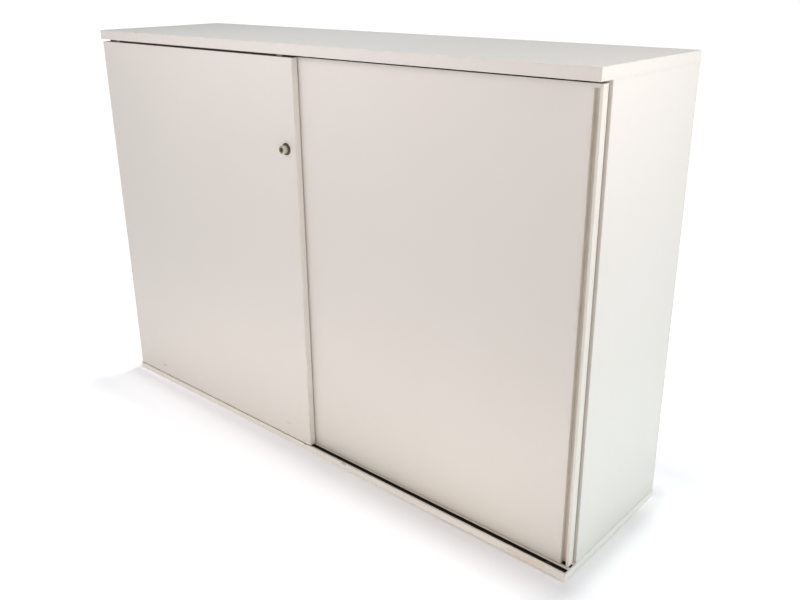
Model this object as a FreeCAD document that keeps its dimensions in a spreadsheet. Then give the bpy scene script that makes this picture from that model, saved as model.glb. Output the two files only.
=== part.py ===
import FreeCAD, Part
import math
import os
import re

import Sketcher

# Office cabinet with two sliding doors: boarded carcass, shelves, tracks, doors on rollers and a push lock.
# X runs to the right as seen from the front, Y to the back and Z up. The origin is on the floor under the
# middle of the top panel. All sizes are in millimetres.

SIZES = (
    # carcass
    ("cabinet_width", "1600"),
    ("cabinet_depth", "412"),
    ("side_height", "1024"),
    ("top_thickness", "25"),
    ("board", "18"),
    ("side_inset", "1"),
    ("arris", "0.8"),
    ("back_thickness", "8"),
    ("back_inset", "12"),
    ("back_groove_depth", "8"),
    ("back_play", "0.2"),
    # where the doors hang in front of the carcass
    ("door_setback", "2"),
    ("door_thickness", "18"),
    ("door_gap", "3"),
    ("door_back_gap", "5"),
    ("front_door_end_gap", "4"),
    ("rear_door_end_gap", "7"),
    ("door_overlap", "23"),
    ("door_top_gap", "6"),
    ("door_bottom_gap", "1.5"),
    ("door_edge_round", "1"),
    # tracks let into the top and bottom panels
    ("track_width", "12"),
    ("track_end", "3.6"),
    ("track_wall", "1.4"),
    ("track_play", "0.1"),
    ("top_track_depth", "13"),
    ("bottom_track_depth", "6.5"),
    ("stop_length", "12"),
    ("stop_height", "4.3"),
    ("stop_slope", "3"),
    ("stop_gap", "0.4"),
    # rollers in the bottom edge of each door
    ("roller_diameter", "22"),
    ("roller_width", "5.6"),
    ("roller_hub_diameter", "9"),
    ("roller_rim", "3"),
    ("roller_dish", "1.2"),
    ("roller_crown", "0.8"),
    ("roller_play", "0.05"),
    ("roller_room", "1"),
    ("tread_gap", "0.3"),
    ("axle_diameter", "4"),
    ("axle_bevel", "0.4"),
    ("axle_fit", "0.02"),
    ("housing_length", "48"),
    ("housing_width", "10"),
    ("housing_height", "19"),
    ("housing_inset", "60"),
    ("housing_round", "1.5"),
    ("housing_play", "0.1"),
    # guide strip and guide shoes on the top edge of each door
    ("strip_thickness", "5"),
    ("strip_flange", "9"),
    ("strip_flange_thickness", "1.2"),
    ("strip_root", "3"),
    ("strip_root_depth", "8"),
    ("strip_rise", "4.5"),
    ("strip_play", "0.1"),
    ("strip_clear", "3"),
    ("strip_end_gap", "4"),
    ("shoe_length", "18"),
    ("shoe_inset", "42"),
    ("shoe_cap", "1.2"),
    ("shoe_play", "0.1"),
    ("shoe_run", "0.3"),
    # upright grip profile at the outer edge of the rear door
    ("grip_lip", "6.4"),
    ("grip_groove_width", "12.8"),
    ("grip_groove_depth", "12.5"),
    ("grip_wall", "1.6"),
    ("grip_round", "0.6"),
    ("grip_tongue", "2.4"),
    ("grip_tongue_length", "6"),
    ("grip_play", "0.1"),
    ("grip_cap_height", "7"),
    # push lock on the front door
    ("lock_inset", "33"),
    ("lock_drop", "214"),
    ("lock_stroke", "9"),
    ("lock_play", "0.1"),
    ("case_diameter", "24"),
    ("case_back", "2.5"),
    ("rosette_diameter", "29"),
    ("rosette_thickness", "3"),
    ("rosette_round", "1.2"),
    ("barrel_diameter", "20"),
    ("barrel_reach", "16"),
    ("barrel_seat", "5"),
    ("barrel_bevel", "1"),
    ("barrel_skirt", "2.4"),
    ("barrel_web", "1.5"),
    ("plug_diameter", "12"),
    ("plug_length", "9.5"),
    ("plug_play", "0.05"),
    ("keyway_width", "1.8"),
    ("keyway_height", "8"),
    ("keyway_depth", "7"),
    ("lock_bolt_diameter", "8"),
    ("lock_bolt_proud", "0.5"),
    # shelves on pins in rows of holes
    ("shelf_thickness", "22"),
    ("shelf_side_play", "1"),
    ("shelf_setback", "14"),
    ("shelf_back_gap", "3"),
    ("shelf_round", "1.5"),
    ("hole_pitch", "32"),
    ("row_hole_count", "3"),
    ("lower_shelf_hole_count", "10"),
    ("upper_shelf_hole_count", "21"),
    ("pin_front_inset", "40"),
    ("pin_back_inset", "60"),
    ("pin_hole_diameter", "5"),
    ("pin_hole_depth", "11"),
    ("pin_head_diameter", "7"),
    ("pin_reach", "8"),
    ("pin_grip", "8"),
    ("pin_flat", "2.5"),
    ("pin_play", "0.05"),
    # cam fittings and dowels between the boards
    ("fitting_front_inset", "70"),
    ("fitting_back_inset", "90"),
    ("fitting_depth", "11.5"),
    ("fitting_play", "0.1"),
    ("cam_diameter", "15"),
    ("cam_depth", "12.5"),
    ("cam_inset", "24"),
    ("cam_slot_width", "2"),
    ("cam_slot_depth", "1.5"),
    ("cam_bolt_diameter", "6"),
    ("cam_neck_diameter", "4"),
    ("cam_head_height", "3"),
    ("dowel_diameter", "8"),
    ("dowel_length", "30"),
    ("dowel_step", "32"),
    # glides under the bottom panel
    ("glide_diameter", "30"),
    ("glide_height", "4"),
    ("glide_bevel", "1.5"),
    ("glide_stem_diameter", "8"),
    ("glide_stem_length", "11"),
    ("glide_side_inset", "45"),
    ("glide_front_inset", "80"),
    ("glide_back_inset", "40"),
    ("glide_play", "0.05"),
)

PLACES = (
    # outer planes of the carcass
    ("half_width", "cabinet_width / 2"),
    ("half_depth", "cabinet_depth / 2"),
    ("bottom_top", "glide_height + board"),
    ("top_underside", "bottom_top + side_height"),
    ("side_outer", "half_width - side_inset"),
    ("side_inner", "side_outer - board"),
    # doors and their lanes
    ("front_door_face", "-half_depth + door_setback"),
    ("rear_door_face", "front_door_face + door_thickness + door_gap"),
    ("front_lane", "front_door_face + door_thickness / 2"),
    ("rear_lane", "rear_door_face + door_thickness / 2"),
    ("side_front", "rear_door_face + door_thickness + door_back_gap"),
    ("side_depth", "half_depth - side_front"),
    ("front_door_outer", "half_width - front_door_end_gap"),
    ("rear_door_outer", "half_width - rear_door_end_gap"),
    ("door_width", "(front_door_outer + rear_door_outer + door_overlap) / 2"),
    ("door_bottom", "bottom_top + door_bottom_gap"),
    ("door_top", "top_underside - door_top_gap"),
    ("door_height", "door_top - door_bottom"),
    ("door_middle", "door_thickness / 2"),
    # back panel
    ("back_rear", "half_depth - back_inset"),
    ("back_front", "back_rear - back_thickness"),
    ("back_half", "side_inner + back_groove_depth - back_play"),
    ("back_height", "side_height + 2 * (back_groove_depth - back_play)"),
    # tracks
    ("track_half", "half_width - track_end"),
    ("track_outer", "track_width / 2 - track_play"),
    ("track_inner", "track_outer - track_wall"),
    ("track_floor", "bottom_top - bottom_track_depth + track_wall"),
    # rollers
    ("roller_radius", "roller_diameter / 2"),
    ("axle_height", "track_floor + tread_gap + roller_radius"),
    ("axle_rise", "axle_height - door_bottom"),
    ("roller_slot_half", "roller_radius + roller_room"),
    ("roller_slot_top", "axle_rise + roller_radius + roller_room"),
    ("stop_drop", "roller_radius + tread_gap - stop_height"),
    ("stop_beyond", "sqrt(roller_radius ^ 2 - stop_drop ^ 2) + stop_gap"),
    ("front_stops", "front_door_outer - housing_inset + stop_beyond"),
    ("rear_stops", "rear_door_outer - housing_inset + stop_beyond"),
    # guide strip and shoes
    ("strip_height", "door_top_gap + strip_rise"),
    ("strip_start", "grip_width + grip_tongue_length + strip_clear"),
    ("strip_length", "door_width - strip_start - strip_end_gap"),
    ("shoe_outer", "track_inner - shoe_run"),
    ("shoe_inner", "strip_thickness / 2 + shoe_play"),
    ("shoe_slot_top", "strip_height - strip_flange_thickness + shoe_play"),
    # grip profile
    ("grip_inner_lip", "grip_lip + grip_groove_width"),
    ("grip_width", "grip_inner_lip + grip_wall"),
    ("tongue_half", "grip_tongue / 2"),
    # lock
    ("lock_x", "-front_door_outer + door_width - lock_inset"),
    ("lock_z", "door_top - lock_drop"),
    ("barrel_radius", "barrel_diameter / 2"),
    ("barrel_bore_end", "-barrel_reach + plug_length + plug_play"),
    ("barrel_web_end", "barrel_bore_end + barrel_web"),
    ("lock_bolt_end", "door_thickness - lock_stroke + lock_bolt_proud"),
    # shelves and pins
    ("bay_middle", "(board / 2 + side_inner) / 2"),
    ("shelf_half", "(side_inner - board / 2) / 2 - shelf_side_play"),
    ("shelf_front", "side_front + shelf_setback"),
    ("shelf_depth", "back_front - shelf_back_gap - shelf_front"),
    ("lower_pins", "lower_shelf_hole_count * hole_pitch"),
    ("upper_pins", "upper_shelf_hole_count * hole_pitch"),
    ("hole_row_below", "(row_hole_count - 1) / 2 * hole_pitch"),
    ("front_pins", "side_front + pin_front_inset"),
    ("back_pins", "back_front - pin_back_inset"),
    # fittings
    ("partition_depth", "back_front - back_play - side_front"),
    ("front_fittings", "side_front + fitting_front_inset"),
    ("back_fittings", "back_front - fitting_back_inset"),
    ("side_middle", "side_outer - board / 2"),
    ("dowel_sunk", "dowel_length - fitting_depth"),
    # glides
    ("glide_x", "half_width - glide_side_inset"),
    ("glide_front", "-half_depth + glide_front_inset"),
    ("glide_back", "half_depth - glide_back_inset"),
)

SHEET_OF = {name: "Sizes" for name, _ in SIZES} | {name: "Places" for name, _ in PLACES}
UPRIGHT = FreeCAD.Rotation()
HALF_TURN_X = FreeCAD.Rotation(FreeCAD.Vector(1, 0, 0), 180)
HALF_TURN_Y = FreeCAD.Rotation(FreeCAD.Vector(0, 1, 0), 180)
HALF_TURN_Z = FreeCAD.Rotation(FreeCAD.Vector(0, 0, 1), 180)
START_SIZE = 1.0  # of drawn lines, before the sheets set them
TOUCH = 0.001  # two places this close are the same place

doc = FreeCAD.newDocument("sliding_door_cabinet")
sub_parts = []


def bound(formula):
    """The formula with each size's own sheet written before its name."""
    return re.sub(
        r"[a-z]\w+",
        lambda word: f"{SHEET_OF[word[0]]}.{word[0]}" if word[0] in SHEET_OF else word[0],
        formula,
    )


def tie(thing, setting, formula):
    """Ties one setting of an object to the sheets."""
    thing.setExpression(setting, bound(formula))


def times(sign, formula):
    """A formula on the left (-1) or right (1) of its origin."""
    return f"{sign} * ({formula})"


def fill_sheets():
    """Writes the driving sizes, then the places that follow from them."""
    for title, rows in (("Sizes", SIZES), ("Places", PLACES)):
        sheet = doc.addObject("Spreadsheet::Sheet", title)
        for row, (name, content) in enumerate(rows, start=1):
            sheet.set(f"A{row}", name)
            sheet.set(f"B{row}", content if title == "Sizes" else "=" + bound(content))
            sheet.setAlias(f"B{row}", name)
        doc.recompute()


def place(thing, x="0", y="0", z="0", rotation=UPRIGHT):
    """Puts an object's own origin at a point of the cabinet."""
    thing.Placement = FreeCAD.Placement(FreeCAD.Vector(), rotation)
    for axis, formula in zip("xyz", (x, y, z)):
        tie(thing, f"Placement.Base.{axis}", formula)


def start_body(name, x="0", y="0", z="0"):
    """Starts a piece that is exported under its own name."""
    body = pattern_body(name)
    place(body, x, y, z)
    sub_parts.append(body)
    return body


def pattern_body(name):
    """Starts a piece that is only copied into a group."""
    body = doc.addObject("PartDesign::Body", name)
    body.Label = name
    return body


def group(name, pattern, spots):
    """Repeats one small piece at each spot, as a node of separate solids."""
    copies = []
    for count, (x, y, z, rotation) in enumerate(spots, start=1):
        copy = doc.addObject("App::Link", f"{name}_{count}")
        copy.LinkedObject = pattern
        place(copy, x, y, z, rotation)
        copies.append(copy)
    whole = doc.addObject("Part::Compound", name)
    whole.Label = name
    whole.Links = copies
    sub_parts.append(whole)


def sketch_on(body, plane, lift=None):
    """A sketch on one of the body's own planes, lifted along the plane's normal."""
    sketch = body.newObject("Sketcher::SketchObject", f"{body.Name}_sketch")
    support = next(part for part in body.Origin.OriginFeatures if part.Role == plane)
    sketch.AttachmentSupport = (support, [""])
    sketch.MapMode = "FlatFace"
    if lift:
        tie(sketch, "AttachmentOffset.Base.z", lift)
    return sketch


def set_distance(sketch, kind, geometry, point, formula):
    """Ties a point's distance from the sketch's origin, along one axis."""
    index = sketch.addConstraint(Sketcher.Constraint(kind, -1, 1, geometry, point, START_SIZE))
    tie(sketch, f"Constraints[{index}]", formula)


def outline(sketch, corners):
    """A closed outline of straight lines, with every corner tied to the sheets."""
    first = sketch.GeometryCount
    count = len(corners)
    turns = [2 * math.pi * corner / count for corner in range(count)]
    ring = [FreeCAD.Vector(math.cos(turn), math.sin(turn), 0) for turn in turns]
    for corner in range(count):
        sketch.addGeometry(Part.LineSegment(ring[corner], ring[(corner + 1) % count]))
    for corner, (u, v) in enumerate(corners):
        following = first + (corner + 1) % count
        sketch.addConstraint(Sketcher.Constraint("Coincident", first + corner, 2, following, 1))
        set_distance(sketch, "DistanceX", first + corner, 1, u)
        set_distance(sketch, "DistanceY", first + corner, 1, v)


def rectangle(sketch, left, right, low, high):
    """A rectangle between two distances along each axis."""
    outline(sketch, ((left, low), (right, low), (right, high), (left, high)))


def circle(sketch, u, v, diameter):
    """A circle about a point."""
    middle = FreeCAD.Vector(START_SIZE, START_SIZE, 0)
    index = sketch.addGeometry(Part.Circle(middle, FreeCAD.Vector(0, 0, 1), START_SIZE))
    set_distance(sketch, "DistanceX", index, 3, u)
    set_distance(sketch, "DistanceY", index, 3, v)
    size = sketch.addConstraint(Sketcher.Constraint("Diameter", index, 2 * START_SIZE))
    tie(sketch, f"Constraints[{size}]", diameter)


def pad(body, sketch, length, back=False):
    """Raises a sketch into a solid, along its normal or back from it."""
    feature = body.newObject("PartDesign::Pad", f"{body.Name}_pad")
    feature.Profile = sketch
    feature.Reversed = back
    tie(feature, "Length", length)
    doc.recompute()


def pocket(body, sketch, depth, back=False):
    """Cuts a sketch into the solid, against its normal or along it, and sees that it did cut."""
    whole = body.Tip.Shape.Volume
    feature = body.newObject("PartDesign::Pocket", f"{body.Name}_pocket")
    feature.Profile = sketch
    feature.Reversed = back
    tie(feature, "Length", depth)
    doc.recompute()
    if not feature.Shape.Volume < whole:
        raise RuntimeError(f"a pocket of {body.Label} cuts nothing")
    return feature


def turn(body, sketch, axis="V_Axis"):
    """Turns a sketch about one of its own axes."""
    feature = body.newObject("PartDesign::Revolution", f"{body.Name}_turning")
    feature.Profile = sketch
    feature.ReferenceAxis = (sketch, [axis])
    feature.Angle = 360
    doc.recompute()


def soften(body, radius, wanted):
    """Rounds the edges of the solid so far that the test picks out."""
    base = body.Tip
    box = base.Shape.BoundBox
    names = [f"Edge{index}" for index, edge in enumerate(base.Shape.Edges, start=1) if wanted(edge, box)]
    feature = body.newObject("PartDesign::Fillet", f"{body.Name}_round")
    feature.Base = (base, names)
    tie(feature, "Radius", radius)
    doc.recompute()


def at(value, limit):
    """Whether a place is on a limit."""
    return abs(value - limit) < TOUCH


def runs_upright(edge):
    """Whether an edge is straight and vertical."""
    box = edge.BoundBox
    return at(box.XLength, 0) and at(box.YLength, 0)


def on_front(edge, box):
    """Whether an edge runs up or along the front face."""
    return at(edge.BoundBox.YMin, box.YMin) and at(edge.BoundBox.YLength, 0)


def on_rim(edge, box):
    """Whether an edge lies in the outline of the upper or lower face."""
    own = edge.BoundBox
    level = at(own.ZLength, 0) and (at(own.ZMin, box.ZMin) or at(own.ZMin, box.ZMax))
    across = at(own.XMin, own.XMax) and (at(own.XMin, box.XMin) or at(own.XMin, box.XMax))
    along = at(own.YMin, own.YMax) and (at(own.YMin, box.YMin) or at(own.YMin, box.YMax))
    return level and (across or along)


FITTING_COLUMNS = ("-side_middle", "0", "side_middle")
FITTING_ROWS = ("front_fittings", "back_fittings")
LANES = {"front": "front_lane", "rear": "rear_lane"}


def cut_track_grooves(body, depth, lift=None, back=False):
    """Two stopped grooves for the tracks."""
    sketch = sketch_on(body, "XY_Plane", lift)
    for lane in LANES.values():
        low = f"{lane} - track_width / 2"
        rectangle(sketch, "-track_half", "track_half", low, f"{low} + track_width")
    pocket(body, sketch, depth, back)


def cut_back_groove(body, lift=None, back=False):
    """One stopped groove for the back panel."""
    sketch = sketch_on(body, "XY_Plane", lift)
    half = "back_half + back_play"
    rectangle(sketch, f"-({half})", half, "back_front - back_play", "back_rear + back_play")
    pocket(body, sketch, "back_groove_depth", back)


def bore_for_fittings(body, columns, origin, bolt_depth, dowel_depth, lift=None, back=False):
    """Holes for the cam bolts and the dowels in one face or end of a board."""
    bolts = sketch_on(body, "XY_Plane", lift)
    dowels = sketch_on(body, "XY_Plane", lift)
    for column in columns:
        for row in FITTING_ROWS:
            circle(bolts, column, f"{row} - {origin}", "cam_bolt_diameter + 2 * fitting_play")
            circle(dowels, column, f"{row} + dowel_step - {origin}", "dowel_diameter + 2 * fitting_play")
    pocket(body, bolts, bolt_depth, back)
    pocket(body, dowels, dowel_depth, back)


def top_panel():
    """The thick top, grooved below for the tracks and the back."""
    body = start_body("top_panel", z="top_underside")
    sketch = sketch_on(body, "XY_Plane")
    rectangle(sketch, "-half_width", "half_width", "-half_depth", "half_depth")
    pad(body, sketch, "top_thickness")
    soften(body, "arris", on_rim)
    cut_track_grooves(body, "top_track_depth", back=True)
    cut_back_groove(body, back=True)
    depth = "fitting_depth + fitting_play"
    bore_for_fittings(body, FITTING_COLUMNS, "0", depth, depth, back=True)


def bottom_panel():
    """The floor of the cabinet, grooved above for the tracks and the back."""
    body = start_body("bottom_panel", z="glide_height")
    sketch = sketch_on(body, "XY_Plane")
    rectangle(sketch, "-half_width", "half_width", "-half_depth", "half_depth")
    pad(body, sketch, "board")
    soften(body, "arris", on_rim)
    cut_track_grooves(body, "bottom_track_depth", lift="board")
    cut_back_groove(body, lift="board")
    depth = "fitting_depth + fitting_play"
    bore_for_fittings(body, FITTING_COLUMNS, "0", depth, depth, lift="board")
    stems = sketch_on(body, "XY_Plane")
    for x, y in glide_spots():
        circle(stems, x, y, "glide_stem_diameter + 2 * glide_play")
    pocket(body, stems, "glide_stem_length + glide_play", back=True)


def bore_for_cams(body, face, back):
    """Round seats for the cams, near both ends of an upright board."""
    sketch = sketch_on(body, "YZ_Plane", face)
    for row in FITTING_ROWS:
        for height in ("cam_inset", "side_height - cam_inset"):
            circle(sketch, f"{row} - side_front", height, "cam_diameter + 2 * fitting_play")
    pocket(body, sketch, "cam_depth", back)


def bore_for_pins(body, face, depth, back):
    """Rows of shelf pin holes about the two shelf heights."""
    sketch = sketch_on(body, "YZ_Plane", face)
    for row in ("front_pins", "back_pins"):
        for height in ("lower_pins", "upper_pins"):
            circle(sketch, f"{row} - side_front", f"{height} - hole_row_below", "pin_hole_diameter")
    first = pocket(body, sketch, depth, back)
    rows = body.newObject("PartDesign::LinearPattern", f"{body.Name}_hole_rows")
    rows.Originals = [first]
    rows.Direction = (sketch, ["V_Axis"])
    tie(rows, "Length", "(row_hole_count - 1) * hole_pitch")
    tie(rows, "Occurrences", "row_hole_count")
    body.Tip = rows
    doc.recompute()


def bore_ends(body, column):
    """Holes for bolts and dowels in both ends of an upright board."""
    sunk = "dowel_sunk + fitting_play"
    bore_for_fittings(body, (column,), "side_front", "cam_inset", sunk, back=True)
    bore_for_fittings(body, (column,), "side_front", "cam_inset", sunk, lift="side_height")


def side_panel(name, side):
    """An upright side, with a groove for the back panel in its inner face."""
    body = start_body(name, times(side, "side_outer"), "side_front", "bottom_top")
    inner = times(-side, "board")
    sunk = times(-side, "board - back_groove_depth")
    near = "back_front - back_play - side_front"
    far = "back_rear + back_play - side_front"
    sketch = sketch_on(body, "XY_Plane")
    outline(
        sketch,
        (
            ("0", "0"),
            (inner, "0"),
            (inner, near),
            (sunk, near),
            (sunk, far),
            (inner, far),
            (inner, "side_depth"),
            ("0", "side_depth"),
        ),
    )
    pad(body, sketch, "side_height")
    soften(body, "arris", lambda edge, box: runs_upright(edge) and on_front(edge, box))
    outward = side > 0
    bore_for_pins(body, inner, "pin_hole_depth", outward)
    bore_for_cams(body, inner, outward)
    bore_ends(body, times(-side, "board / 2"))


def centre_partition():
    """The upright between the two bays, with shelf pin holes right through."""
    body = start_body("centre_partition", y="side_front", z="bottom_top")
    sketch = sketch_on(body, "XY_Plane")
    rectangle(sketch, "-board / 2", "board / 2", "0", "partition_depth")
    pad(body, sketch, "side_height")
    soften(body, "arris", lambda edge, box: runs_upright(edge) and on_front(edge, box))
    bore_for_pins(body, "board / 2", "board", False)
    bore_for_cams(body, "board / 2", False)
    bore_ends(body, "0")


def back_panel():
    """The thin back, held in grooves all round."""
    body = start_body("back_panel", y="back_front", z="bottom_top - back_groove_depth + back_play")
    sketch = sketch_on(body, "XZ_Plane")
    rectangle(sketch, "-back_half", "back_half", "0", "back_height")
    pad(body, sketch, "back_thickness", back=True)


def shelf(name, bay, pins):
    """A loose shelf on four pins, rounded along its front."""
    body = start_body(name, times(bay, "bay_middle"), "shelf_front", f"bottom_top + {pins} + pin_flat")
    sketch = sketch_on(body, "XY_Plane")
    rectangle(sketch, "-shelf_half", "shelf_half", "0", "shelf_depth")
    pad(body, sketch, "shelf_thickness")
    soften(body, "shelf_round", lambda edge, box: on_front(edge, box) and not runs_upright(edge))


def shelf_pins():
    """Turned steel pins with a flat on top of the head."""
    pin = pattern_body("shelf_pin")
    shank = "pin_hole_diameter / 2 - pin_play"
    head = "pin_head_diameter / 2"
    sketch = sketch_on(pin, "XY_Plane")
    outline(
        sketch,
        (
            ("-pin_grip", "0"),
            ("pin_reach", "0"),
            ("pin_reach", head),
            ("0", head),
            ("0", shank),
            ("-pin_grip", shank),
        ),
    )
    turn(pin, sketch, "H_Axis")
    flat = sketch_on(pin, "XY_Plane", "pin_flat")
    rectangle(flat, "0", "pin_reach", f"-{head}", head)
    pocket(pin, flat, head, back=True)
    spots = []
    for bay in (-1, 1):
        faces = ((times(bay, "side_inner"), -bay), (times(bay, "board / 2"), bay))
        for x, towards in faces:
            rotation = UPRIGHT if towards > 0 else HALF_TURN_Z
            for y in ("front_pins", "back_pins"):
                for height in ("lower_pins", "upper_pins"):
                    spots.append((x, y, f"bottom_top + {height}", rotation))
    group("shelf_pins", pin, spots)


def track(name, lane, z, opens_up, depth):
    """A channel pressed into its groove, flush with the board."""
    body = start_body(name, y=lane, z=z)
    floor = "track_wall" if opens_up else f"{depth} - track_wall"
    mouth, closed = (depth, "0") if opens_up else ("0", depth)
    sketch = sketch_on(body, "YZ_Plane", "-track_half + track_play")
    outline(
        sketch,
        (
            ("-track_outer", closed),
            ("track_outer", closed),
            ("track_outer", mouth),
            ("track_inner", mouth),
            ("track_inner", floor),
            ("-track_inner", floor),
            ("-track_inner", mouth),
            ("-track_outer", mouth),
        ),
    )
    pad(body, sketch, "2 * (track_half - track_play)")


def track_stops():
    """Blocks in the bottom tracks that stop the outer rollers."""
    stop = pattern_body("track_stop")
    sketch = sketch_on(stop, "XZ_Plane", "-track_inner + track_play")
    outline(
        sketch,
        (
            ("0", "0"),
            ("stop_length", "0"),
            ("stop_length", "stop_height / 2"),
            ("stop_length - stop_slope", "stop_height"),
            ("0", "stop_height"),
        ),
    )
    pad(stop, sketch, "2 * (track_inner - track_play)")
    spots = []
    for name, lane in LANES.items():
        spots.append((f"{name}_stops", lane, "track_floor", UPRIGHT))
        spots.append((f"-{name}_stops", lane, "track_floor", HALF_TURN_Z))
    group("track_stops", stop, spots)


def fitting_spots():
    """Each joint of an upright with the top or bottom: column, way the cams face, row and end."""
    for column, faces in (("-side_middle", 1), ("0", 1), ("side_middle", -1)):
        for row in FITTING_ROWS:
            for end in (-1, 1):
                yield column, faces, row, end


def cams():
    """Round cams, slotted for a screwdriver and bored for the bolt's head."""
    cam = pattern_body("cam")
    radius = "cam_diameter / 2"
    sketch = sketch_on(cam, "XY_Plane")
    rectangle(sketch, "-cam_depth", "0", "0", radius)
    turn(cam, sketch, "H_Axis")
    bore = sketch_on(cam, "XY_Plane")
    circle(bore, "-board / 2", "0", "cam_bolt_diameter + 2 * fitting_play")
    pocket(cam, bore, radius, back=True)
    slot = sketch_on(cam, "YZ_Plane")
    rectangle(slot, f"-{radius} / 2", f"{radius} / 2", "-cam_slot_width / 2", "cam_slot_width / 2")
    pocket(cam, slot, "cam_slot_depth")
    rotations = {(1, 1): UPRIGHT, (-1, 1): HALF_TURN_Z, (1, -1): HALF_TURN_X, (-1, -1): HALF_TURN_Y}
    spots = []
    for column, faces, row, end in fitting_spots():
        height = "cam_inset" if end < 0 else "side_height - cam_inset"
        face = f"{column} + {faces} * board / 2"
        spots.append((face, row, f"bottom_top + {height}", rotations[faces, end]))
    group("cams", cam, spots)


def cam_bolts():
    """Bolts from the top and bottom panels, each with its head in a cam."""
    bolt = pattern_body("cam_bolt")
    neck = "cam_neck_diameter / 2"
    shank = "cam_bolt_diameter / 2"
    neck_end = "cam_diameter / 2 + fitting_play"
    tip = "cam_inset + fitting_depth"
    sketch = sketch_on(bolt, "XZ_Plane")
    outline(
        sketch,
        (
            ("0", "fitting_play"),
            (shank, "fitting_play"),
            (shank, "cam_head_height"),
            (neck, "cam_head_height"),
            (neck, neck_end),
            (shank, neck_end),
            (shank, tip),
            ("0", tip),
        ),
    )
    turn(bolt, sketch)
    spots = []
    for column, _, row, end in fitting_spots():
        height = "cam_inset" if end < 0 else "side_height - cam_inset"
        spots.append((column, row, f"bottom_top + {height}", UPRIGHT if end > 0 else HALF_TURN_X))
    group("cam_bolts", bolt, spots)


def dowels():
    """Wooden dowels across the same joints."""
    dowel = pattern_body("dowel")
    sketch = sketch_on(dowel, "XZ_Plane")
    rectangle(sketch, "0", "dowel_diameter / 2", "-dowel_sunk", "fitting_depth")
    turn(dowel, sketch)
    spots = []
    for column, _, row, end in fitting_spots():
        height = "bottom_top" if end < 0 else "top_underside"
        spots.append((column, f"{row} + dowel_step", height, UPRIGHT if end > 0 else HALF_TURN_X))
    group("dowels", dowel, spots)


def glide_spots():
    """Where the glides stand, three along the front and three along the back."""
    return [(x, y) for x in ("-glide_x", "0", "glide_x") for y in ("glide_front", "glide_back")]


def floor_glides():
    """Plastic glides with a stem pressed into the bottom panel."""
    glide = pattern_body("floor_glide")
    rim = "glide_diameter / 2"
    stem = "glide_stem_diameter / 2"
    tip = "glide_height + glide_stem_length"
    sketch = sketch_on(glide, "XZ_Plane")
    outline(
        sketch,
        (
            ("0", "0"),
            (f"{rim} - glide_bevel", "0"),
            (rim, "glide_bevel"),
            (rim, "glide_height"),
            (stem, "glide_height"),
            (stem, tip),
            ("0", tip),
        ),
    )
    turn(glide, sketch)
    group("floor_glides", glide, [(x, y, "0", UPRIGHT) for x, y in glide_spots()])


class Door:
    """One door: its name, the way from its outer edge to the middle, its lane and what it is opened by."""

    def __init__(self, name, inward, lane_name, has_grip):
        self.name = name
        self.inward = inward
        self.face = f"{lane_name}_door_face"
        self.lane = LANES[lane_name]
        self.outer = times(-inward, f"{lane_name}_door_outer")
        self.has_grip = has_grip

    def in_from_edge(self, distance):
        """A distance from the outer edge towards the middle, along X."""
        return times(self.inward, distance)

    def carried(self, outer_inset, inner_inset):
        """The two fittings of a kind on the door, with their places along X."""
        near_end = f"{self.outer} + {self.in_from_edge(outer_inset)}"
        far_end = f"{self.outer} + {self.in_from_edge(f'door_width - ({inner_inset})')}"
        return zip(("left", "right"), (near_end, far_end)[:: self.inward])


def draw_board(sketch, door):
    """The plan of a door's board, slotted along its outer edge where it takes the grip."""
    inner = door.in_from_edge("door_width")
    if not door.has_grip:
        rectangle(sketch, "0", inner, "0", "door_thickness")
        return
    edge = door.in_from_edge("grip_width")
    slot_end = door.in_from_edge("grip_width + grip_tongue_length + grip_play")
    slot_near = "door_middle - tongue_half - grip_play"
    slot_far = "door_middle + tongue_half + grip_play"
    outline(
        sketch,
        (
            (edge, "0"),
            (inner, "0"),
            (inner, "door_thickness"),
            (edge, "door_thickness"),
            (edge, slot_far),
            (slot_end, slot_far),
            (slot_end, slot_near),
            (edge, slot_near),
        ),
    )


def door_panel(door):
    """The board of a door, grooved above for the strip and mortised below for the rollers."""
    body = start_body(f"{door.name}_panel", door.outer, door.face, "door_bottom")
    sketch = sketch_on(body, "XY_Plane")
    draw_board(sketch, door)
    pad(body, sketch, "door_height")
    reach = body.Tip.Shape.BoundBox
    ends = (reach.XMin, reach.XMax)[:: door.inward]
    bare_ends = ends[1:] if door.has_grip else ends
    soften(
        body,
        "door_edge_round",
        lambda edge, box: runs_upright(edge) and any(at(edge.BoundBox.XMin, end) for end in bare_ends),
    )
    groove = sketch_on(body, "XY_Plane", "door_height")
    root = "strip_root / 2 + strip_play"
    start = door.in_from_edge("strip_start - strip_play")
    end = door.in_from_edge("strip_start + strip_length + strip_play")
    rectangle(groove, start, end, f"door_middle - ({root})", f"door_middle + {root}")
    pocket(body, groove, "strip_root_depth + strip_play")
    mortises = sketch_on(body, "XY_Plane")
    half_length = "(housing_length / 2 + housing_play)"
    half_width = "(housing_width / 2 + housing_play)"
    for middle in ("housing_inset", "door_width - housing_inset"):
        rectangle(
            mortises,
            door.in_from_edge(f"{middle} - {half_length}"),
            door.in_from_edge(f"{middle} + {half_length}"),
            f"door_middle - {half_width}",
            f"door_middle + {half_width}",
        )
    pocket(body, mortises, "housing_height + housing_play", back=True)
    return body


def bore_for_lock(body, door):
    """A round hole through the board for the lock's case."""
    bore = sketch_on(body, "XZ_Plane")
    across = door.in_from_edge("door_width - lock_inset")
    circle(bore, across, "door_height - lock_drop", "case_diameter + 2 * lock_play")
    pocket(body, bore, "door_thickness")


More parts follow.
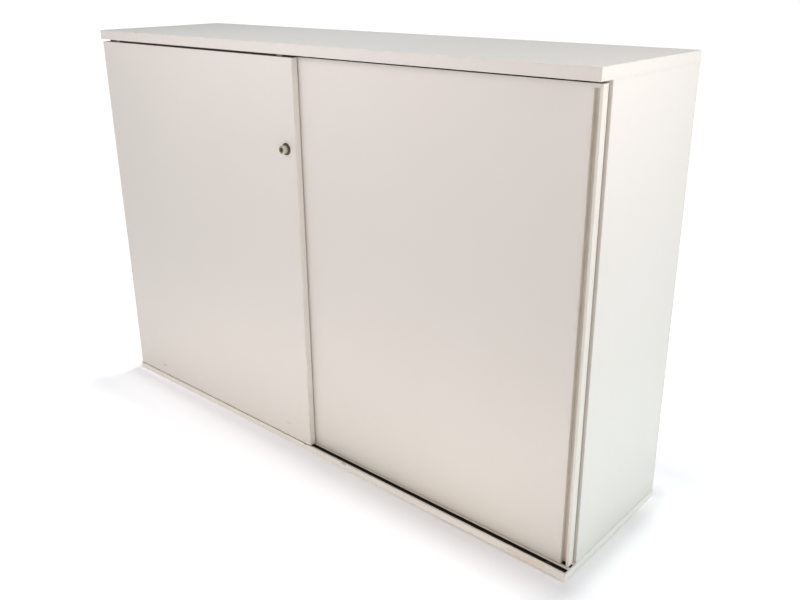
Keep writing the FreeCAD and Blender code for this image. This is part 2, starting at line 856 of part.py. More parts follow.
def grip(door):
    """A hollow extruded profile with a finger groove, its tongue in the edge of the board."""
    body = start_body(f"{door.name}_grip", door.outer, door.face, "door_bottom")
    along = door.in_from_edge
    lip = along("grip_lip")
    groove_end = along("grip_inner_lip")
    inner = along("grip_width")
    tongue_end = along("grip_width + grip_tongue_length")
    tongue_near = "door_middle - tongue_half"
    tongue_far = "door_middle + tongue_half"
    sketch = sketch_on(body, "XY_Plane")
    outline(
        sketch,
        (
            ("0", "0"),
            (lip, "0"),
            (lip, "grip_groove_depth"),
            (groove_end, "grip_groove_depth"),
            (groove_end, "0"),
            (inner, "0"),
            (inner, tongue_near),
            (tongue_end, tongue_near),
            (tongue_end, tongue_far),
            (inner, tongue_far),
            (inner, "door_thickness"),
            ("0", "door_thickness"),
        ),
    )
    wall = along("grip_wall")
    lip_wall = along("grip_lip - grip_wall")
    floor = "grip_groove_depth + grip_wall"
    rear = "door_thickness - grip_wall"
    outline(
        sketch,
        (
            (wall, "grip_wall"),
            (lip_wall, "grip_wall"),
            (lip_wall, floor),
            (groove_end, floor),
            (groove_end, rear),
            (wall, rear),
        ),
    )
    pad(body, sketch, "door_height")
    own = body.Tip.Shape.BoundBox
    outer_end = own.XMin if door.inward > 0 else own.XMax

    def shows(edge, box):
        front = at(edge.BoundBox.YMin, box.YMin)
        outer_back = at(edge.BoundBox.YMin, box.YMax) and at(edge.BoundBox.XMin, outer_end)
        return runs_upright(edge) and (front or outer_back)

    soften(body, "grip_round", shows)


def grip_cap(door):
    """A plug that closes the top of the finger groove, flush with the door."""
    body = start_body(f"{door.name}_grip_cap", door.outer, door.face, "door_top - grip_cap_height")
    sketch = sketch_on(body, "XY_Plane")
    near = door.in_from_edge("grip_lip + grip_play")
    far = door.in_from_edge("grip_inner_lip - grip_play")
    rectangle(sketch, near, far, "0", "grip_groove_depth - grip_play")
    pad(body, sketch, "grip_cap_height")
    soften(
        body,
        "grip_round",
        lambda edge, box: at(edge.BoundBox.YMax, box.YMin) and at(edge.BoundBox.ZMax, box.ZMin),
    )


def guide_strip(door):
    """A strip along the top of the door, its root in the board and its tongue in the top track."""
    body = start_body(f"{door.name}_guide_strip", door.outer, door.lane, "door_top")
    flange = "strip_flange / 2"
    tongue = "strip_thickness / 2"
    root = "strip_root / 2"
    right_half = (
        (root, "-strip_root_depth"),
        (root, "0"),
        (flange, "0"),
        (flange, "strip_flange_thickness"),
        (tongue, "strip_flange_thickness"),
        (tongue, "strip_height"),
    )
    left_half = tuple((f"-{across}", up) for across, up in reversed(right_half))
    sketch = sketch_on(body, "YZ_Plane", door.in_from_edge("strip_start"))
    outline(sketch, right_half + left_half)
    pad(body, sketch, "strip_length", back=door.inward < 0)


def guide_shoe(door, end, x):
    """A saddle that sits on the strip and slides in the top track."""
    body = start_body(f"{door.name}_guide_shoe_{end}", x, door.lane, "door_top + strip_flange_thickness")
    crest = "shoe_slot_top + shoe_cap"
    sketch = sketch_on(body, "YZ_Plane", "-shoe_length / 2")
    outline(
        sketch,
        (
            ("-shoe_outer", "0"),
            ("-shoe_inner", "0"),
            ("-shoe_inner", "shoe_slot_top"),
            ("shoe_inner", "shoe_slot_top"),
            ("shoe_inner", "0"),
            ("shoe_outer", "0"),
            ("shoe_outer", crest),
            ("-shoe_outer", crest),
        ),
    )
    pad(body, sketch, "shoe_length")


def roller_housing(door, end, x):
    """A block in the bottom edge of the door, open below for the roller."""
    body = start_body(f"{door.name}_roller_housing_{end}", x, door.lane, "door_bottom")
    sketch = sketch_on(body, "XY_Plane")
    rectangle(sketch, "-housing_length / 2", "housing_length / 2", "-housing_width / 2", "housing_width / 2")
    pad(body, sketch, "housing_height")
    soften(body, "housing_round", lambda edge, box: runs_upright(edge))
    half_slot = "roller_width / 2 + roller_room / 2"
    slot = sketch_on(body, "XY_Plane")
    rectangle(slot, "-roller_slot_half", "roller_slot_half", f"-({half_slot})", half_slot)
    pocket(body, slot, "roller_slot_top", back=True)
    bore = sketch_on(body, "XZ_Plane", "housing_width / 2")
    circle(bore, "0", "axle_rise", "axle_diameter + 2 * axle_fit")
    pocket(body, bore, "housing_width")


def roller_axle(door, end, x):
    """A steel pin across the housing."""
    body = start_body(f"{door.name}_roller_axle_{end}", x, door.lane, "axle_height")
    radius = "axle_diameter / 2"
    half = "housing_width / 2"
    sketch = sketch_on(body, "XY_Plane")
    outline(
        sketch,
        (
            ("0", f"-{half}"),
            (f"{radius} - axle_bevel", f"-{half}"),
            (radius, f"-{half} + axle_bevel"),
            (radius, f"{half} - axle_bevel"),
            (f"{radius} - axle_bevel", half),
            ("0", half),
        ),
    )
    turn(body, sketch)


def roller(door, end, x):
    """A dished nylon roller with a crowned tread."""
    body = start_body(f"{door.name}_roller_{end}", x, door.lane, "axle_height")
    bore = "axle_diameter / 2 + roller_play"
    hub = "roller_hub_diameter / 2"
    rim = "roller_radius - roller_rim"
    face = "roller_width / 2"
    dish = f"{face} - roller_dish"
    shoulder = "roller_radius - roller_crown"
    one_side = (
        (bore, face),
        (hub, face),
        (hub, dish),
        (rim, dish),
        (rim, face),
        (shoulder, face),
        ("roller_radius", f"{face} - roller_crown"),
    )
    other_side = tuple((radius, f"-({along})") for radius, along in reversed(one_side))
    sketch = sketch_on(body, "XY_Plane")
    outline(sketch, one_side + other_side)
    turn(body, sketch)


def lock_piece(name, door, profile):
    """A turned piece of the lock, drawn as radius and depth behind the face of the door."""
    body = start_body(name, "lock_x", door.face, "lock_z")
    sketch = sketch_on(body, "XY_Plane")
    outline(sketch, profile)
    turn(body, sketch)
    return body


def lock(door):
    """A push lock: case in the door, rosette on it, sprung barrel through both and a key plug inside."""
    bore = "barrel_radius + lock_play"
    case = "case_diameter / 2"
    bolt = "lock_bolt_diameter / 2"
    bolt_bore = f"{bolt} + lock_play"
    case_floor = "door_thickness - case_back"
    lock_piece(
        "lock_case",
        door,
        (
            (bore, "0"),
            (case, "0"),
            (case, "door_thickness"),
            (bolt_bore, "door_thickness"),
            (bolt_bore, case_floor),
            (bore, case_floor),
        ),
    )
    rim = "rosette_diameter / 2"
    lock_piece(
        "lock_rosette",
        door,
        (
            (bore, "0"),
            (rim, "0"),
            (rim, "-rosette_thickness + rosette_round"),
            (f"{rim} - rosette_round", "-rosette_thickness"),
            (bore, "-rosette_thickness"),
        ),
    )
    plug_bore = "plug_diameter / 2 + plug_play"
    skirt = "barrel_radius - barrel_skirt"
    lock_piece(
        "lock_barrel",
        door,
        (
            ("0", "barrel_bore_end"),
            (plug_bore, "barrel_bore_end"),
            (plug_bore, "-barrel_reach"),
            ("barrel_radius - barrel_bevel", "-barrel_reach"),
            ("barrel_radius", "-barrel_reach + barrel_bevel"),
            ("barrel_radius", "barrel_seat"),
            (skirt, "barrel_seat"),
            (skirt, "barrel_web_end"),
            (bolt, "barrel_web_end"),
            (bolt, "lock_bolt_end"),
            ("0", "lock_bolt_end"),
        ),
    )
    plug_end = "-barrel_reach + plug_length"
    plug = lock_piece(
        "lock_plug",
        door,
        (
            ("0", "-barrel_reach"),
            ("plug_diameter / 2", "-barrel_reach"),
            ("plug_diameter / 2", plug_end),
            ("0", plug_end),
        ),
    )
    keyway = sketch_on(plug, "XZ_Plane", "barrel_reach")
    rectangle(keyway, "-keyway_width / 2", "keyway_width / 2", "-keyway_height / 2", "keyway_height / 2")
    pocket(plug, keyway, "keyway_depth")


def build_carcass():
    """Boards, shelves, tracks and what holds them together."""
    top_panel()
    bottom_panel()
    side_panel("left_side_panel", -1)
    side_panel("right_side_panel", 1)
    centre_partition()
    back_panel()
    for bay_name, bay in (("left", -1), ("right", 1)):
        for level in ("lower", "upper"):
            shelf(f"{bay_name}_{level}_shelf", bay, f"{level}_pins")
    shelf_pins()
    for lane_name, lane in LANES.items():
        track(f"{lane_name}_top_track", lane, "top_underside", False, "top_track_depth")
        track(f"{lane_name}_bottom_track", lane, "track_floor - track_wall", True, "bottom_track_depth")
    track_stops()
    cams()
    cam_bolts()
    dowels()
    floor_glides()


def build_door(door):
    """One door with everything that slides along with it, opened by its grip or else by its lock."""
    panel = door_panel(door)
    guide_strip(door)
    for end, x in door.carried("strip_start + shoe_inset", "strip_end_gap + shoe_inset"):
        guide_shoe(door, end, x)
    for end, x in door.carried("housing_inset", "housing_inset"):
        roller_housing(door, end, x)
        roller_axle(door, end, x)
        roller(door, end, x)
    if door.has_grip:
        grip(door)
        grip_cap(door)
    else:
        bore_for_lock(panel, door)
        lock(door)


def write_parts():
    """Checks every object and solid, then writes one file per piece."""
    doc.recompute()
    failed = [thing.Label for thing in doc.Objects if {"Invalid", "Error"} & set(thing.State)]
    bad = [piece.Label for piece in sub_parts if piece.Shape.isNull() or not piece.Shape.isValid()]
    if failed or bad:
        raise RuntimeError(f"failed objects {failed}, bad solids {bad}")
    os.makedirs("parts", exist_ok=True)
    for piece in sub_parts:
        piece.Shape.exportStep(f"parts/{piece.Label}.step")
    print(len(sub_parts), "pieces written")


fill_sheets()
build_carcass()
build_door(Door("left_door", 1, "front", has_grip=False))
build_door(Door("right_door", -1, "rear", has_grip=True))
write_parts()
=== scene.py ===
import math

import bmesh
import bpy
from mathutils import Matrix, Vector


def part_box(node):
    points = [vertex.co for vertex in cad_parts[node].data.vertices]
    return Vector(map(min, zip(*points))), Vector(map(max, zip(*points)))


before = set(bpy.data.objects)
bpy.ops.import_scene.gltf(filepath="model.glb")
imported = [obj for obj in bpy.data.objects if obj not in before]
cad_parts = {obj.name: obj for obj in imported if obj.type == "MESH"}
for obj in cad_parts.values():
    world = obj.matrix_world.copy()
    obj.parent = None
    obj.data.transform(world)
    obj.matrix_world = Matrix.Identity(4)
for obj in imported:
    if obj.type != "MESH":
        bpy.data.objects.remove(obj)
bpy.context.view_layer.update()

# Looks of the cabinet with sliding doors, in metres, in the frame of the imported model:
# X to the right as seen from the front, Y to the back, Z up, the floor at zero.

# The photograph's camera: its place in metres, its angles in degrees, its lens and sensor in
# millimetres, its shift in parts of the picture's width, and how near and far it sees in metres.
CAMERA_PLACE = Vector((1.51147, -1.52915, 1.22774))
CAMERA_AZIMUTH = 41.3306
CAMERA_FALL = 20.2683
CAMERA_ROLL = 0.3915
CAMERA_LENS = 38.02
CAMERA_SENSOR = 36.0
CAMERA_SHIFT = (-0.00376, -0.02314)
CAMERA_REACH = (0.01, 500.0)

# Colours as seen on the object, red, green and blue from 0 to 255.
BOARD_WHITE = (227, 222, 215)
BOARD_SOILED = (205, 194, 176)
GRIP_WHITE = (228, 223, 213)
# The grip's groove colour: dirt and painted shade in the recess.
GRIP_DIRT_AND_SHADE = (160, 150, 132)
# The bottom panel's white is whiter than the other boards: painted light on its lip and front.
BASE_PAINTED_LIGHT_WHITE = (243, 238, 231)
TRACK_BLACK = (58, 49, 40)
TRACK_DUST = (96, 88, 78)
SHOE_GREY = (128, 128, 126)
NYLON_WHITE = (226, 222, 210)
GLIDE_GREY = (92, 92, 92)
STEEL = (176, 176, 174)
NICKEL = (238, 231, 216)
NICKEL_FACE = (152, 145, 124)
# The rosette's dark brown is a painted reflection: the plated ring mirrors a dark room.
ROSETTE_PAINTED_DARK = (84, 72, 64)
ROSETTE_WORN = (122, 110, 98)
PLUG_DARK = (72, 68, 50)
ZINC = (150, 152, 154)
BEECH_LIGHT = (214, 180, 138)
BEECH_DARK = (180, 140, 98)
CORE_BROWN = (128, 102, 76)
FLOOR_WHITE = (248, 249, 251)

# The range that most values of a noise lie in.
NOISE_RANGE = (0.3, 0.7)

# How a noise is drawn out so that its lines run along an axis.
EVEN = (1.0, 1.0, 1.0)
ALONG_X = (0.05, 1.0, 1.0)
ALONG_Y = (1.0, 0.05, 1.0)
ALONG_Z = (1.0, 1.0, 0.05)

# Faces of the boards: the grains to the metre of the faint clouds, of the patches that handling
# leaves and of the orange peel, the depth of that peel, and the roughness from patch to patch.
CLOUD_GRAIN = 2.5
PATCH_GRAIN = 60.0
PEEL_GRAIN = 2600.0
PEEL_DEPTH = 0.00004
BOARD_ROUGHNESS = (0.38, 0.5)
CLOUD_SHARE = 0.06

# Edges of the boards: the thickness of the edging, the width of its seam, how far hand marks
# reach from the edge, and how strongly seam and marks show.
EDGE_BAND = 0.002
EDGE_SEAM = 0.00012
SEAM_SHARE = 0.2
SOILED_REACH = 0.008
SOILED_SHARE = 0.2

# Worn spots and the one tint: the grains to the metre of their ragged rim, how ragged it is, and
# where it starts and ends in parts of the spot's half sizes.
MARK_GRAIN = 400.0
MARK_RAGGED = 0.4
MARK_RIM = (0.75, 1.05)

# Worn spots on the boards, and one broad tint, each with its middle, its half sizes, how far it
# shows and its colour.
MARKS = {
    "bottom_panel": (
        ((-0.0103, -0.206, 0.0215), (0.007, 0.003, 0.0022), 0.5, CORE_BROWN),
        ((0.1371, -0.206, 0.021), (0.009, 0.003, 0.004), 0.45, CORE_BROWN),
        # A broad tan tint over the right end of the bottom panel's front.
        ((0.7, -0.206, 0.012), (0.07, 0.004, 0.009), 0.25, BEECH_LIGHT),
    ),
    "left_door_panel": (
        ((-0.6637, -0.204, 0.0525), (0.012, 0.002, 0.0011), 0.75, CORE_BROWN),
        ((-0.075, -0.204, 0.062), (0.012, 0.002, 0.004), 0.12, CORE_BROWN),
    ),
}

# The grip: the width of the flat front of its outer lip, the width over which the dirt and painted
# shade in its groove end there, the depths between which they come in, and how strong they get.
GRIP_LIP = 0.0064
GROOVE_RIM = 0.0004
GROOVE_DEPTHS = (0.0008, 0.006)
GROOVE_DIRT_AND_SHADE = 0.15

# The lock: rings to the metre that turning leaves, the depth over which the darker tone of a front
# face ends, and its strength.
RING_GRAIN = 700.0
FACE_DARK_DEPTH = 0.0006
FACE_DARK_SHARE = 0.85

# The cabinet's soft shadow on the floor, which the paper's glow shapes. It reaches so far in
# front, and so many times less far beside the left and the right end. The glow goes from the
# first value at the cabinet to the second at the shadow's rim.
SHADOW_REACH = 0.11
LEFT_NARROWING = 4.0
RIGHT_NARROWING = 2.0
SHADOW_GLOW = (0.04, 0.41)

# Added glow close to the cabinet, where it hides the lights from the paper.
CONTACT_REACH = 0.016
CONTACT_GLOW = 0.12

# Added glow that lets the shadow fade out to the left, up to one X, and to the back, from one Y.
# It ends between two distances from the cabinet.
FADE_LEFT_END = 0.5
FADE_LEFT_GLOW = 0.24
FADE_BACK_START = 0.1
FADE_BACK_GLOW = 0.26
FADE_RIM = (0.06, 0.13)

# Added glow of the paper beyond the shadow, by two distances from the cabinet.
PAPER_REACH = 0.4
PAPER_GLOW = 0.34
DISTANT_REACH = 4.0
DISTANT_GLOW = 0.3

# In front of the cabinet the lights make up for some of that glow: between the first Y and the
# last, and most at the middle one, where this share of it is left.
LIT_START = -0.35
LIT_MIDDLE = -1.1
LIT_END = -4.0
LIT_SHARE = 0.6

# The floor's half width, and the grains to the metre of its paper.
FLOOR_HALF = 120.0
PAPER_GRAIN = 90.0

# The room's brightness: from one height of the view to another, as sines, it goes from the third
# value to the last.
ROOM_FADE = (0.0, 0.3, 0.85, 0.1)

# The lights: place, point that they face, width and height, power in watts, and colour.
LIGHTS = {
    "front_high_strip": (
        (-0.08, -0.95, 1.5), (-0.08, -0.2, 1.1), (1.1, 0.35), 3.65, (1.0, 0.92, 0.97)),
    "front_foot_strip": (
        (-0.1, -0.62, 0.05), (-0.1, -0.2, 0.03), (1.7, 0.04), 0.77, (1.0, 0.9, 0.8)),
    "right_foot_strip": (
        (0.62, -0.55, 0.05), (0.62, -0.2, 0.03), (0.4, 0.04), 0.13, (1.0, 0.91, 0.81)),
    "camera_box": (
        (1.3, -1.7, 1.1), (0.2, -0.2, 0.6), (0.9, 0.9), 1.4, (1.0, 0.55, 0.2)),
    "front_left_box": (
        (-1.2, -1.8, 0.7), (-0.5, -0.2, 0.5), (1.0, 1.0), 0.4, (1.0, 0.65, 0.4)),
    "top_box": (
        (-0.05, 0.1, 2.6), (-0.05, 0.1, 0.0), (3.0, 0.8), 29.4, (0.885, 0.952, 1.0)),
    "right_box": (
        (4.5, 0.0, 1.0), (0.8, 0.0, 0.6), (3.0, 1.6), 13.5, (0.65, 0.86, 1.0)),
    "right_corner_box": (
        (1.5, -0.2, 1.5), (0.8, -0.1, 0.9), (0.5, 0.5), 4.7, (1.0, 0.92, 0.925)),
    "right_low_strip": (
        (1.45, 0.0, 0.15), (0.8, 0.0, 0.05), (0.6, 0.15), 0.76, (0.68, 1.0, 0.96)),
}


def linear(colour):
    """A seen colour as the light that it stands for."""
    parts = [part / 255 for part in colour]
    light = [p / 12.92 if p <= 0.04045 else ((p + 0.055) / 1.055) ** 2.4 for p in parts]
    return (*light, 1.0)


class Finish:
    """One material, built from the surface's own coordinates up to its shader."""

    def __init__(self, name, metallic=0.0):
        self.material = bpy.data.materials.new(name)
        self.material.use_nodes = True
        self.tree = self.material.node_tree
        self.shader = self.tree.nodes["Principled BSDF"]
        self.shader.inputs["Metallic"].default_value = metallic
        self.coords = self.add("ShaderNodeTexCoord").outputs["Object"]

    def add(self, kind, inputs=(), **settings):
        """A node with its settings, fed by other nodes or by plain values."""
        made = self.tree.nodes.new(kind)
        for setting, value in settings.items():
            setattr(made, setting, value)
        for socket, value in dict(inputs).items():
            self.feed(made.inputs[socket], value)
        return made

    def feed(self, socket, value):
        """Links a socket, or sets its value."""
        if isinstance(value, bpy.types.NodeSocket):
            self.tree.links.new(value, socket)
        else:
            socket.default_value = value

    def compute(self, operation, first, second=0.0):
        """One step of arithmetic."""
        return self.add("ShaderNodeMath", {0: first, 1: second}, operation=operation).outputs[0]

    def vector(self, operation, first, second=(0.0, 0.0, 0.0)):
        """One step of arithmetic on vectors."""
        inputs = {0: first, 1: second}
        return self.add("ShaderNodeVectorMath", inputs, operation=operation).outputs[0]

    def length(self, vector):
        """How long a vector is."""
        return self.add("ShaderNodeVectorMath", {0: vector}, operation="LENGTH").outputs["Value"]

    def axes(self, vector):
        """The three parts of a vector."""
        return self.add("ShaderNodeSeparateXYZ", {0: vector}).outputs

    def noise(self, grain, detail=2.0, stretch=EVEN):
        """Soft noise from 0 to 1, with so many grains to the metre, drawn out along an axis."""
        spread = self.vector("MULTIPLY", self.coords, stretch)
        inputs = {"Vector": spread, "Scale": grain, "Detail": detail}
        return self.add("ShaderNodeTexNoise", inputs).outputs[0]

    def remap(self, value, start, end, low=0.0, high=1.0):
        """Takes start to low and end to high, and holds what lies beyond."""
        inputs = {"Value": value, "From Min": start, "From Max": end, "To Min": low, "To Max": high}
        return self.add("ShaderNodeMapRange", inputs).outputs[0]

    def blend(self, share, first, second):
        """The first colour where the share is 0 and the second where it is 1."""
        inputs = {0: share, 6: first, 7: second}
        return self.add("ShaderNodeMix", inputs, data_type="RGBA").outputs[2]

    def edge_distance(self, box):
        """How far a point of a board's surface is from the nearest edge of the board."""
        low, high = box
        folded = self.vector("ABSOLUTE", self.vector("SUBTRACT", self.coords, (low + high) / 2))
        x, y, z = self.axes(self.vector("SUBTRACT", (high - low) / 2, folded))
        lesser = self.compute("MINIMUM", x, y)
        greater = self.compute("MAXIMUM", x, y)
        return self.compute("MAXIMUM", lesser, self.compute("MINIMUM", greater, z))

    def mark(self, middle, half_sizes):
        """A spot with a ragged rim: 1 in its middle and 0 beyond it."""
        centred = self.vector("SUBTRACT", self.coords, middle)
        far = self.length(self.vector("DIVIDE", centred, half_sizes))
        grain = self.noise(MARK_GRAIN, 3.0)
        ragged = self.remap(grain, 0.25, 0.75, -MARK_RAGGED, MARK_RAGGED)
        return self.remap(self.compute("ADD", far, ragged), *MARK_RIM, 1.0, 0.0)

    def relief(self, height, depth, strength):
        """Raises the surface by so many metres where the height is 1."""
        inputs = {"Height": height, "Distance": depth, "Strength": strength}
        normal = self.add("ShaderNodeBump", inputs).outputs[0]
        self.feed(self.shader.inputs["Normal"], normal)

    def finish(self, colour, roughness):
        """Joins the colour and the roughness to the shader."""
        self.feed(self.shader.inputs["Base Color"], colour)
        self.feed(self.shader.inputs["Roughness"], roughness)
        return self.material


def board_finish(name, white=BOARD_WHITE):
    """White melamine with an orange peel, edging seams, hand marks and its own spots."""
    look = Finish(f"{name}_melamine")
    edge = look.edge_distance(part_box(name))
    cloud = look.noise(CLOUD_GRAIN, 3.0)
    patches = look.noise(PATCH_GRAIN, 4.0)
    handled = look.remap(edge, 0.0, SOILED_REACH, SOILED_SHARE, 0.0)
    soiled = look.compute("MULTIPLY", handled, look.remap(patches, 0.35, 0.75))
    off_seam = look.compute("ABSOLUTE", look.compute("SUBTRACT", edge, EDGE_BAND))
    seam = look.remap(off_seam, EDGE_SEAM / 2, EDGE_SEAM, SEAM_SHARE, 0.0)
    clouded = look.remap(cloud, *NOISE_RANGE, 0.0, CLOUD_SHARE)
    clean = look.blend(clouded, linear(white), linear(BOARD_SOILED))
    colour = look.blend(look.compute("MAXIMUM", soiled, seam), clean, linear(BOARD_SOILED))
    for middle, half_sizes, strength, stain in MARKS.get(name, ()):
        share = look.compute("MULTIPLY", look.mark(middle, half_sizes), strength)
        colour = look.blend(share, colour, linear(stain))
    look.relief(look.noise(PEEL_GRAIN, 1.0), PEEL_DEPTH, strength=0.5)
    return look.finish(colour, look.remap(patches, 0.3, 0.8, *BOARD_ROUGHNESS))


def grip_finish(name):
    """A pale coated extrusion, drawn along its length, and darker down in its groove: dirt and
    painted shade.
    """
    look = Finish(f"{name}_extrusion")
    low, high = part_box(name)
    groove_end = high.x - GRIP_LIP
    drawn = look.noise(900.0, stretch=(1.0, 1.0, 0.01))
    patches = look.noise(30.0, 3.0)
    x, y, _ = look.axes(look.coords)
    # Dirt and painted shade in the groove: stronger with depth, and only inside the groove.
    deep = look.remap(y, *(low.y + depth for depth in GROOVE_DEPTHS))
    inside = look.remap(x, groove_end, groove_end + GROOVE_RIM, 1.0, 0.0)
    stain = look.remap(patches, 0.2, 0.8, 0.0, GROOVE_DIRT_AND_SHADE)
    soiled = look.compute("MULTIPLY", look.compute("MULTIPLY", deep, inside), stain)
    colour = look.blend(soiled, linear(GRIP_WHITE), linear(GRIP_DIRT_AND_SHADE))
    look.relief(drawn, 0.00005, strength=0.6)
    return look.finish(colour, look.remap(patches, *NOISE_RANGE, 0.34, 0.46))


def plastic_finish(name, colour, dust, roughness, dusty=0.3, shine=0.5):
    """Moulded plastic with a fine grain and some dust."""
    look = Finish(name)
    look.shader.inputs["Specular IOR Level"].default_value = shine
    speckle = look.noise(220.0, 5.0)
    drift = look.noise(14.0, 3.0, (0.4, 1.0, 1.0))
    specks = look.remap(speckle, 0.45, 0.7, 0.0, dusty)
    share = look.compute("MULTIPLY", specks, look.remap(drift, *NOISE_RANGE))
    look.relief(look.noise(3000.0, 1.0), 0.00003, strength=0.5)
    return look.finish(
        look.blend(share, linear(colour), linear(dust)),
        look.remap(speckle, *NOISE_RANGE, roughness - 0.06, roughness + 0.08),
    )


def metal_finish(name, colour, shade, roughness, stretch):
    """Bright metal with fine lines left by the tool, drawn out along one axis."""
    look = Finish(name, metallic=1.0)
    lines = look.noise(1500.0, 3.0, stretch)
    patches = look.noise(120.0, 3.0)
    look.relief(lines, 0.00002, strength=0.5)
    return look.finish(
        look.blend(look.remap(patches, 0.3, 0.75, 0.0, 0.6), linear(colour), linear(shade)),
        look.remap(lines, *NOISE_RANGE, roughness - 0.05, roughness + 0.08),
    )


def turned_finish(name, colour, shade, roughness, centre, face=None):
    """Plated metal with rings from turning about a Y axis, darker on a front face at one Y."""
    look = Finish(name, metallic=1.0)
    centred = look.vector("SUBTRACT", look.coords, centre)
    inputs = {"Vector": centred, "Scale": RING_GRAIN, "Distortion": 0.4, "Detail": 2.0}
    wave = look.add("ShaderNodeTexWave", inputs, wave_type="RINGS", rings_direction="Y")
    patches = look.noise(160.0, 3.0)
    look.relief(wave.outputs["Fac"], 0.00002, strength=0.4)
    worn = look.remap(patches, 0.35, 0.75, 0.0, 0.7)
    plated = look.blend(worn, linear(colour), linear(shade))
    # A front face is darker over a short depth.
    if face is not None:
        y = look.axes(look.coords)[1]
        face_darkening = look.remap(y, face, face + FACE_DARK_DEPTH, FACE_DARK_SHARE, 0.0)
        plated = look.blend(face_darkening, plated, linear(NICKEL_FACE))
    return look.finish(plated, look.remap(patches, *NOISE_RANGE, roughness - 0.04, roughness + 0.1))


def wood_finish(name):
    """Beech with its short flecks and long grain upright."""
    look = Finish(name)
    grain = look.noise(500.0, 4.0, (1.0, 1.0, 0.06))
    look.relief(grain, 0.0001, strength=0.6)
    colour = look.blend(look.remap(grain, 0.35, 0.65), linear(BEECH_LIGHT), linear(BEECH_DARK))
    return look.finish(colour, look.remap(grain, *NOISE_RANGE, 0.55, 0.7))


def dress(node, material):
    """Gives a piece one material."""
    node.data.materials.clear()
    node.data.materials.append(material)


def dress_frame():
    """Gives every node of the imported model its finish, by the words in its name."""
    lock_low, lock_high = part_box("lock_rosette")
    centre = (lock_low + lock_high) / 2
    barrel_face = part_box("lock_barrel")[0].y
    black = plastic_finish("black_plastic", TRACK_BLACK, TRACK_DUST, 0.42, dusty=0.25, shine=0.15)
    shared = {
        "track": black,
        "strip": black,
        "housing": black,
        "stops": black,
        "shoe": plastic_finish("grey_plastic", SHOE_GREY, TRACK_DUST, 0.45),
        "glides": plastic_finish("glide_plastic", GLIDE_GREY, TRACK_DUST, 0.5),
        "cap": plastic_finish("cap_plastic", GRIP_WHITE, BOARD_SOILED, 0.4),
        "axle": metal_finish("axle_steel", STEEL, ZINC, 0.3, ALONG_Y),
        "pins": metal_finish("pin_steel", STEEL, ZINC, 0.32, ALONG_X),
        "bolts": metal_finish("bolt_steel", STEEL, ZINC, 0.35, ALONG_Z),
        "cams": metal_finish("cam_zinc", ZINC, STEEL, 0.45, EVEN),
        "dowels": wood_finish("dowel_beech"),
        "case": turned_finish("case_nickel", NICKEL, ZINC, 0.3, centre),
        # The rosette's dark base is a painted reflection of a dark room in the plated ring.
        "rosette": turned_finish("rosette_painted_reflection", ROSETTE_PAINTED_DARK, ROSETTE_WORN, 0.34, centre),
        "barrel": turned_finish("barrel_nickel", NICKEL, ZINC, 0.36, centre, barrel_face),
        "plug": turned_finish("plug_brass", PLUG_DARK, ROSETTE_WORN, 0.4, centre),
    }
    nylon = plastic_finish("roller_nylon", NYLON_WHITE, TRACK_DUST, 0.4)
    for name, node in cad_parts.items():
        words = name.split("_")
        key = next((word for word in words if word in shared), None)
        if key:
            dress(node, shared[key])
        elif "roller" in words:
            dress(node, nylon)
        elif words[-1] == "grip":
            dress(node, grip_finish(name))
        elif name == "bottom_panel":
            # The bottom panel is painted whiter: painted light on its lip and front.
            dress(node, board_finish(name, BASE_PAINTED_LIGHT_WHITE))
        else:
            dress(node, board_finish(name))


def set_camera():
    """The camera that took the photograph."""
    azimuth = math.radians(CAMERA_AZIMUTH)
    fall = math.radians(CAMERA_FALL)
    roll = math.radians(CAMERA_ROLL)
    level = Vector((-math.sin(azimuth), math.cos(azimuth), 0.0))
    ahead = level * math.cos(fall) - Vector((0.0, 0.0, math.sin(fall)))
    right = ahead.cross(Vector((0.0, 0.0, 1.0))).normalized()
    down = ahead.cross(right)
    rolled_right = right * math.cos(roll) + down * math.sin(roll)
    rolled_down = down * math.cos(roll) - right * math.sin(roll)
    axes = Matrix((rolled_right, -rolled_down, -ahead)).transposed()
    data = bpy.data.cameras.new("camera")
    data.lens = CAMERA_LENS
    data.sensor_width = CAMERA_SENSOR
    data.shift_x, data.shift_y = CAMERA_SHIFT
    data.clip_start, data.clip_end = CAMERA_REACH
    camera = bpy.data.objects.new("camera", data)
    camera.matrix_world = Matrix.Translation(CAMERA_PLACE) @ axes.to_4x4()
    bpy.context.scene.collection.objects.link(camera)
    bpy.context.scene.camera = camera


def area_light(name, place, target, size, power, colour):
    """A soft box that faces a point and doesn't show itself."""
    data = bpy.data.lights.new(name, "AREA")
    data.shape = "RECTANGLE"
    data.size, data.size_y = size
    data.energy = power
    data.color = colour
    lamp = bpy.data.objects.new(name, data)
    lamp.visible_camera = False
    turn = (Vector(target) - Vector(place)).to_track_quat("-Z", "Y")
    lamp.matrix_world = Matrix.Translation(place) @ turn.to_matrix().to_4x4()
    bpy.context.scene.collection.objects.link(lamp)


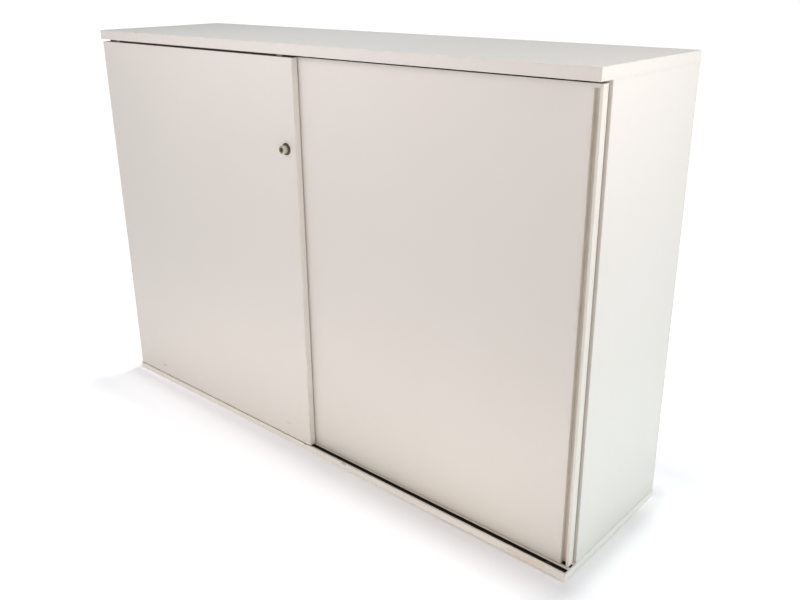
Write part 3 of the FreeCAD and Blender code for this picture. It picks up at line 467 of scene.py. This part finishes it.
def paper_glow(look):
    """How strongly the floor's paper glows, which is less in the shadow round the cabinet."""
    low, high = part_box("bottom_panel")
    x, y, _ = look.axes(look.coords)
    folded = look.vector("ABSOLUTE", look.coords)
    beyond = look.vector("SUBTRACT", folded, (high.x, high.y, 0.0))
    outside = look.vector("MAXIMUM", beyond)
    near = look.length(outside)
    narrowing = look.remap(x, low.x, high.x, LEFT_NARROWING, RIGHT_NARROWING)
    scale = look.add("ShaderNodeCombineXYZ", {0: narrowing, 1: 1.0, 2: 1.0}).outputs[0]
    far = look.length(look.vector("MULTIPLY", outside, scale))

    shadow = look.remap(far, 0.0, SHADOW_REACH, *SHADOW_GLOW)
    contact = look.remap(near, 0.0, CONTACT_REACH, CONTACT_GLOW, 0.0)

    to_left = look.remap(x, low.x, FADE_LEFT_END, FADE_LEFT_GLOW, 0.0)
    to_back = look.remap(y, FADE_BACK_START, high.y, 0.0, FADE_BACK_GLOW)
    fading = look.compute("ADD", to_left, to_back)
    fading = look.compute("MULTIPLY", fading, look.remap(near, *FADE_RIM, 1.0, 0.0))

    paper = look.remap(far, SHADOW_REACH, PAPER_REACH, 0.0, PAPER_GLOW)
    distant = look.remap(far, PAPER_REACH, DISTANT_REACH, 0.0, DISTANT_GLOW)
    unlit_near = look.remap(y, LIT_MIDDLE, LIT_START, LIT_SHARE, 1.0)
    unlit_far = look.remap(y, LIT_END, LIT_MIDDLE, 1.0, LIT_SHARE)
    unlit = look.compute("MAXIMUM", unlit_near, unlit_far)
    open_floor = look.compute("MULTIPLY", look.compute("ADD", paper, distant), unlit)

    glow = look.compute("ADD", look.compute("ADD", shadow, contact), fading)
    return look.compute("ADD", glow, open_floor)


def floor_finish():
    """White paper with a faint grain and a glow."""
    look = Finish("floor_paper")
    look.feed(look.shader.inputs["Emission Strength"], paper_glow(look))
    look.shader.inputs["Emission Color"].default_value = linear(FLOOR_WHITE)
    grain = look.noise(PAPER_GRAIN, 3.0)
    specks = look.remap(grain, *NOISE_RANGE, 0.0, 0.02)
    colour = look.blend(specks, linear(FLOOR_WHITE), linear(BOARD_WHITE))
    return look.finish(colour, look.remap(grain, *NOISE_RANGE, 0.85, 0.95))


def white_room():
    """A white room that is dim above and bright where it meets the floor."""
    world = bpy.data.worlds.new("room")
    world.use_nodes = True
    tree = world.node_tree
    background = tree.nodes["Background"]
    background.inputs["Color"].default_value = (1.0, 1.0, 1.0, 1.0)
    coords = tree.nodes.new("ShaderNodeTexCoord")
    direction = tree.nodes.new("ShaderNodeSeparateXYZ")
    tree.links.new(coords.outputs["Generated"], direction.inputs[0])
    fade = tree.nodes.new("ShaderNodeMapRange")
    for socket, value in zip(("From Min", "From Max", "To Min", "To Max"), ROOM_FADE):
        fade.inputs[socket].default_value = value
    tree.links.new(direction.outputs["Z"], fade.inputs["Value"])
    tree.links.new(fade.outputs[0], background.inputs["Strength"])
    return world


def set_stage():
    """A pale floor, a white room, and soft boxes and strips in front, above and at the right."""
    scene = bpy.context.scene
    scene.view_settings.view_transform = "Standard"
    scene.world = white_room()

    mesh = bpy.data.meshes.new("floor")
    shape = bmesh.new()
    bmesh.ops.create_grid(shape, x_segments=1, y_segments=1, size=FLOOR_HALF)
    shape.to_mesh(mesh)
    shape.free()
    floor = bpy.data.objects.new("floor", mesh)
    scene.collection.objects.link(floor)
    dress(floor, floor_finish())

    for name, settings in LIGHTS.items():
        area_light(name, *settings)


set_camera()
set_stage()
dress_frame()
